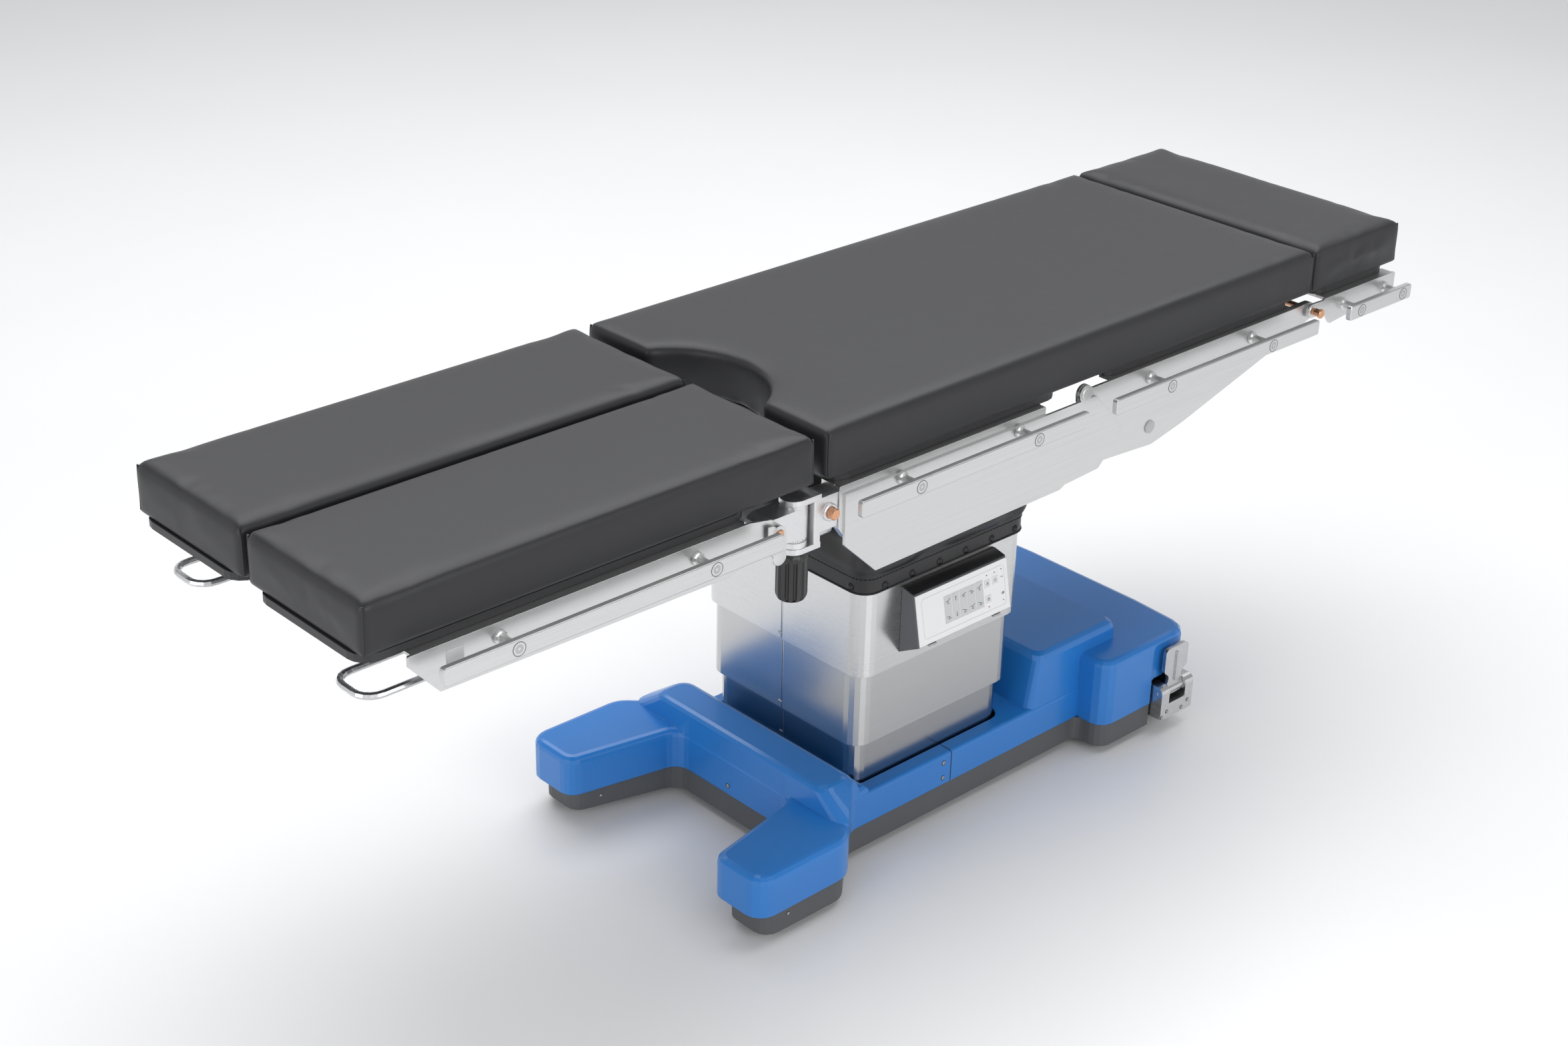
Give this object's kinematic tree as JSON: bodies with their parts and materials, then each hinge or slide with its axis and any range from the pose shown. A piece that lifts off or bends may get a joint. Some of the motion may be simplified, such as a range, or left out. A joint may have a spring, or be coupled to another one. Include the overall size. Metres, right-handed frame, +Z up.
{
  "type": "operating table",
  "caption": "Mobile operating table with jointed sections, split leg plates, side rails, a shrouded lifting column and a forked base on castors.",
  "frame": {"origin": "on the floor, under the middle of the table top's length and width", "axes": "+X towards the head end, +Y away from the side with the control panel, +Z up"},
  "size_m": [2.0694, 0.612, 0.79],
  "materials": {
    "stainless": "brushed stainless sheet and rail",
    "aluminium": "satin cast aluminium",
    "polished_steel": "polished",
    "copper_button": "copper-coloured, polished",
    "blue_cover": "satin moulded cover",
    "grey_chassis": "dark grey powder coat",
    "black_vinyl": "soft vinyl over foam, satin",
    "black_laminate": "X-ray clear laminate board, matt",
    "boot_leatherette": "matt leatherette",
    "black_plastic": "moulded, satin",
    "grey_housing": "moulded, satin",
    "rubber": "moulded"
  },
  "bodies": {
    "base": {"base_chassis": "grey_chassis", "base_cover_foot": "blue_cover", "base_cover_head": "blue_cover", "brake_block": "stainless", "column_cover_lower": "stainless"},
    "brake_pedal": {"brake_pedal": "polished_steel"},
    "brake_bars": {"brake_bar_foot": "rubber", "brake_bar_head": "rubber"},
    "column_middle": {"column_cover_middle": "stainless"},
    "column_top": {"column_cover_upper": "stainless", "mast_inner": "grey_chassis", "column_boot": "boot_leatherette", "control_panel": "grey_housing"},
    "tilt_cross": {"tilt_cross": "grey_chassis"},
    "seat": {"seat_frame": "stainless", "seat_board": "black_laminate", "seat_rail_R": "stainless", "seat_rail_L": "stainless", "seat_pad": "black_vinyl", "hinge_pad": "black_vinyl", "leg_yoke_R": "aluminium", "leg_yoke_L": "aluminium"},
    "back": {"back_frame": "stainless", "back_board": "black_laminate", "back_rail_R": "stainless", "back_rail_L": "stainless", "back_pad": "black_vinyl"},
    "head": {"head_frame": "stainless", "head_board": "black_laminate", "head_pad": "black_vinyl", "head_pad_edge": "black_vinyl"},
    "head_release": {"head_release_rod": "copper_button"},
    "castor_1": {"castor_fork_1": "polished_steel"},
    "wheels_1": {"castor_wheels_1": "rubber"},
    "castor_2": {"castor_fork_2": "polished_steel"},
    "wheels_2": {"castor_wheels_2": "rubber"},
    "castor_3": {"castor_fork_3": "polished_steel"},
    "wheels_3": {"castor_wheels_3": "rubber"},
    "castor_4": {"castor_fork_4": "polished_steel"},
    "wheels_4": {"castor_wheels_4": "rubber"},
    "leg_swing_R": {"leg_bracket_R": "aluminium"},
    "leg_R": {"leg_channel_R": "stainless", "leg_rail_R": "stainless", "leg_board_R": "black_laminate", "leg_pad_R": "black_vinyl", "leg_pad_edge_R": "black_vinyl"},
    "bail_R": {"leg_release_bail_R": "polished_steel"},
    "knob_R": {"leg_knob_R": "black_plastic"},
    "release_R": {"release_button_R": "copper_button"},
    "hinge_button_R": {"leg_hinge_button_R": "copper_button"},
    "leg_swing_L": {"leg_bracket_L": "aluminium"},
    "leg_L": {"leg_channel_L": "stainless", "leg_rail_L": "stainless", "leg_board_L": "black_laminate", "leg_pad_L": "black_vinyl", "leg_pad_edge_L": "black_vinyl"},
    "bail_L": {"leg_release_bail_L": "polished_steel"},
    "knob_L": {"leg_knob_L": "black_plastic"},
    "release_L": {"release_button_L": "copper_button"},
    "hinge_button_L": {"leg_hinge_button_L": "copper_button"}
  },
  "joints": [
    {"name": "brake_pedal_hinge", "type": "hinge", "parent": "base", "child": "brake_pedal", "pos_m": [0.54525, -0.249, 0.076], "axis": [1, 0, 0], "range_deg": [0, 45]},
    {"name": "brake_bar_slide", "type": "slide", "parent": "base", "child": "brake_bars", "axis": [0, 0, -1], "range_m": [0, 0.004]},
    {"name": "castor_swivel_1", "type": "hinge", "parent": "base", "child": "castor_1", "pos_m": [-0.28125, 0.204, 0.06], "axis": [0, 0, 1], "continuous": true},
    {"name": "castor_roll_1", "type": "hinge", "parent": "castor_1", "child": "wheels_1", "pos_m": [-0.26725, 0.204, 0.025], "axis": [0, 1, 0], "continuous": true},
    {"name": "castor_swivel_2", "type": "hinge", "parent": "base", "child": "castor_2", "pos_m": [-0.28125, -0.204, 0.06], "axis": [0, 0, 1], "continuous": true},
    {"name": "castor_roll_2", "type": "hinge", "parent": "castor_2", "child": "wheels_2", "pos_m": [-0.26725, -0.204, 0.025], "axis": [0, 1, 0], "continuous": true},
    {"name": "castor_swivel_3", "type": "hinge", "parent": "base", "child": "castor_3", "pos_m": [0.46675, 0.18, 0.06], "axis": [0, 0, 1], "continuous": true},
    {"name": "castor_roll_3", "type": "hinge", "parent": "castor_3", "child": "wheels_3", "pos_m": [0.48075, 0.18, 0.025], "axis": [0, 1, 0], "continuous": true},
    {"name": "castor_swivel_4", "type": "hinge", "parent": "base", "child": "castor_4", "pos_m": [0.46675, -0.18, 0.06], "axis": [0, 0, 1], "continuous": true},
    {"name": "castor_roll_4", "type": "hinge", "parent": "castor_4", "child": "wheels_4", "pos_m": [0.48075, -0.18, 0.025], "axis": [0, 1, 0], "continuous": true},
    {"name": "column_lift", "type": "slide", "parent": "base", "child": "column_top", "axis": [0, 0, 1], "range_m": [-0.1, 0.2]},
    {"name": "shroud_lift", "type": "slide", "parent": "base", "child": "column_middle", "axis": [0, 0, 1], "range_m": [-0.05, 0.1]},
    {"name": "tilt_end_to_end", "type": "hinge", "parent": "column_top", "child": "tilt_cross", "pos_m": [0.05175, 0, 0.6], "axis": [0, 1, 0], "range_deg": [-25, 25], "deforming": ["column_boot"]},
    {"name": "tilt_side_to_side", "type": "hinge", "parent": "tilt_cross", "child": "seat", "pos_m": [0.05175, 0, 0.6], "axis": [1, 0, 0], "range_deg": [-20, 20], "deforming": ["column_boot"]},
    {"name": "back_hinge", "type": "hinge", "parent": "seat", "child": "back", "pos_m": [0.23775, 0, 0.7], "axis": [0, -1, 0], "range_deg": [-40, 75], "deforming": ["hinge_pad"]},
    {"name": "head_hinge", "type": "hinge", "parent": "back", "child": "head", "pos_m": [0.79475, 0, 0.69], "axis": [0, -1, 0], "range_deg": [-90, 30], "deforming": ["head_pad_edge"]},
    {"name": "head_release_push", "type": "slide", "parent": "head", "child": "head_release", "axis": [0, 1, 0], "range_m": [-0.0025, 0.0025], "stiffness_N_per_m": 900},
    {"name": "leg_swing_R", "type": "hinge", "parent": "seat", "child": "leg_swing_R", "pos_m": [-0.33125, -0.24, 0.673], "axis": [0, 0, 1], "range_deg": [0, 80]},
    {"name": "leg_pitch_R", "type": "hinge", "parent": "leg_swing_R", "child": "leg_R", "pos_m": [-0.38525, -0.24, 0.673], "axis": [0, -1, 0], "range_deg": [-20, 80], "deforming": ["leg_pad_edge_R"]},
    {"name": "bail_pull_R", "type": "hinge", "parent": "leg_R", "child": "bail_R", "pos_m": [-0.75325, -0.188, 0.64], "axis": [0, 1, 0], "range_deg": [0, 8], "stiffness_Nm_per_rad": 5},
    {"name": "knob_turn_R", "type": "hinge", "parent": "seat", "child": "knob_R", "pos_m": [-0.33125, -0.24, 0.6], "axis": [0, 0, 1], "range_deg": [0, 270]},
    {"name": "release_push_R", "type": "slide", "parent": "seat", "child": "release_R", "axis": [0, 1, 0], "range_m": [0, 0.005], "stiffness_N_per_m": 800},
    {"name": "hinge_button_push_R", "type": "slide", "parent": "leg_R", "child": "hinge_button_R", "axis": [0, 1, 0], "range_m": [0, 0.002], "stiffness_N_per_m": 1500},
    {"name": "leg_swing_L", "type": "hinge", "parent": "seat", "child": "leg_swing_L", "pos_m": [-0.33125, 0.24, 0.673], "axis": [0, 0, -1], "range_deg": [0, 80]},
    {"name": "leg_pitch_L", "type": "hinge", "parent": "leg_swing_L", "child": "leg_L", "pos_m": [-0.38525, 0.24, 0.673], "axis": [0, -1, 0], "range_deg": [-20, 80], "deforming": ["leg_pad_edge_L"]},
    {"name": "bail_pull_L", "type": "hinge", "parent": "leg_L", "child": "bail_L", "pos_m": [-0.75325, 0.188, 0.64], "axis": [0, 1, 0], "range_deg": [0, 8], "stiffness_Nm_per_rad": 5},
    {"name": "knob_turn_L", "type": "hinge", "parent": "seat", "child": "knob_L", "pos_m": [-0.33125, 0.24, 0.6], "axis": [0, 0, 1], "range_deg": [0, 270]},
    {"name": "release_push_L", "type": "slide", "parent": "seat", "child": "release_L", "axis": [0, -1, 0], "range_m": [0, 0.005], "stiffness_N_per_m": 800},
    {"name": "hinge_button_push_L", "type": "slide", "parent": "leg_L", "child": "hinge_button_L", "axis": [0, -1, 0], "range_m": [0, 0.002], "stiffness_N_per_m": 1500}
  ],
  "couplings": [
    {"joint": "brake_bar_slide", "follows": "brake_pedal_hinge", "m_per_rad": 0.00509},
    {"joint": "shroud_lift", "follows": "column_lift", "ratio": 0.5}
  ]
}
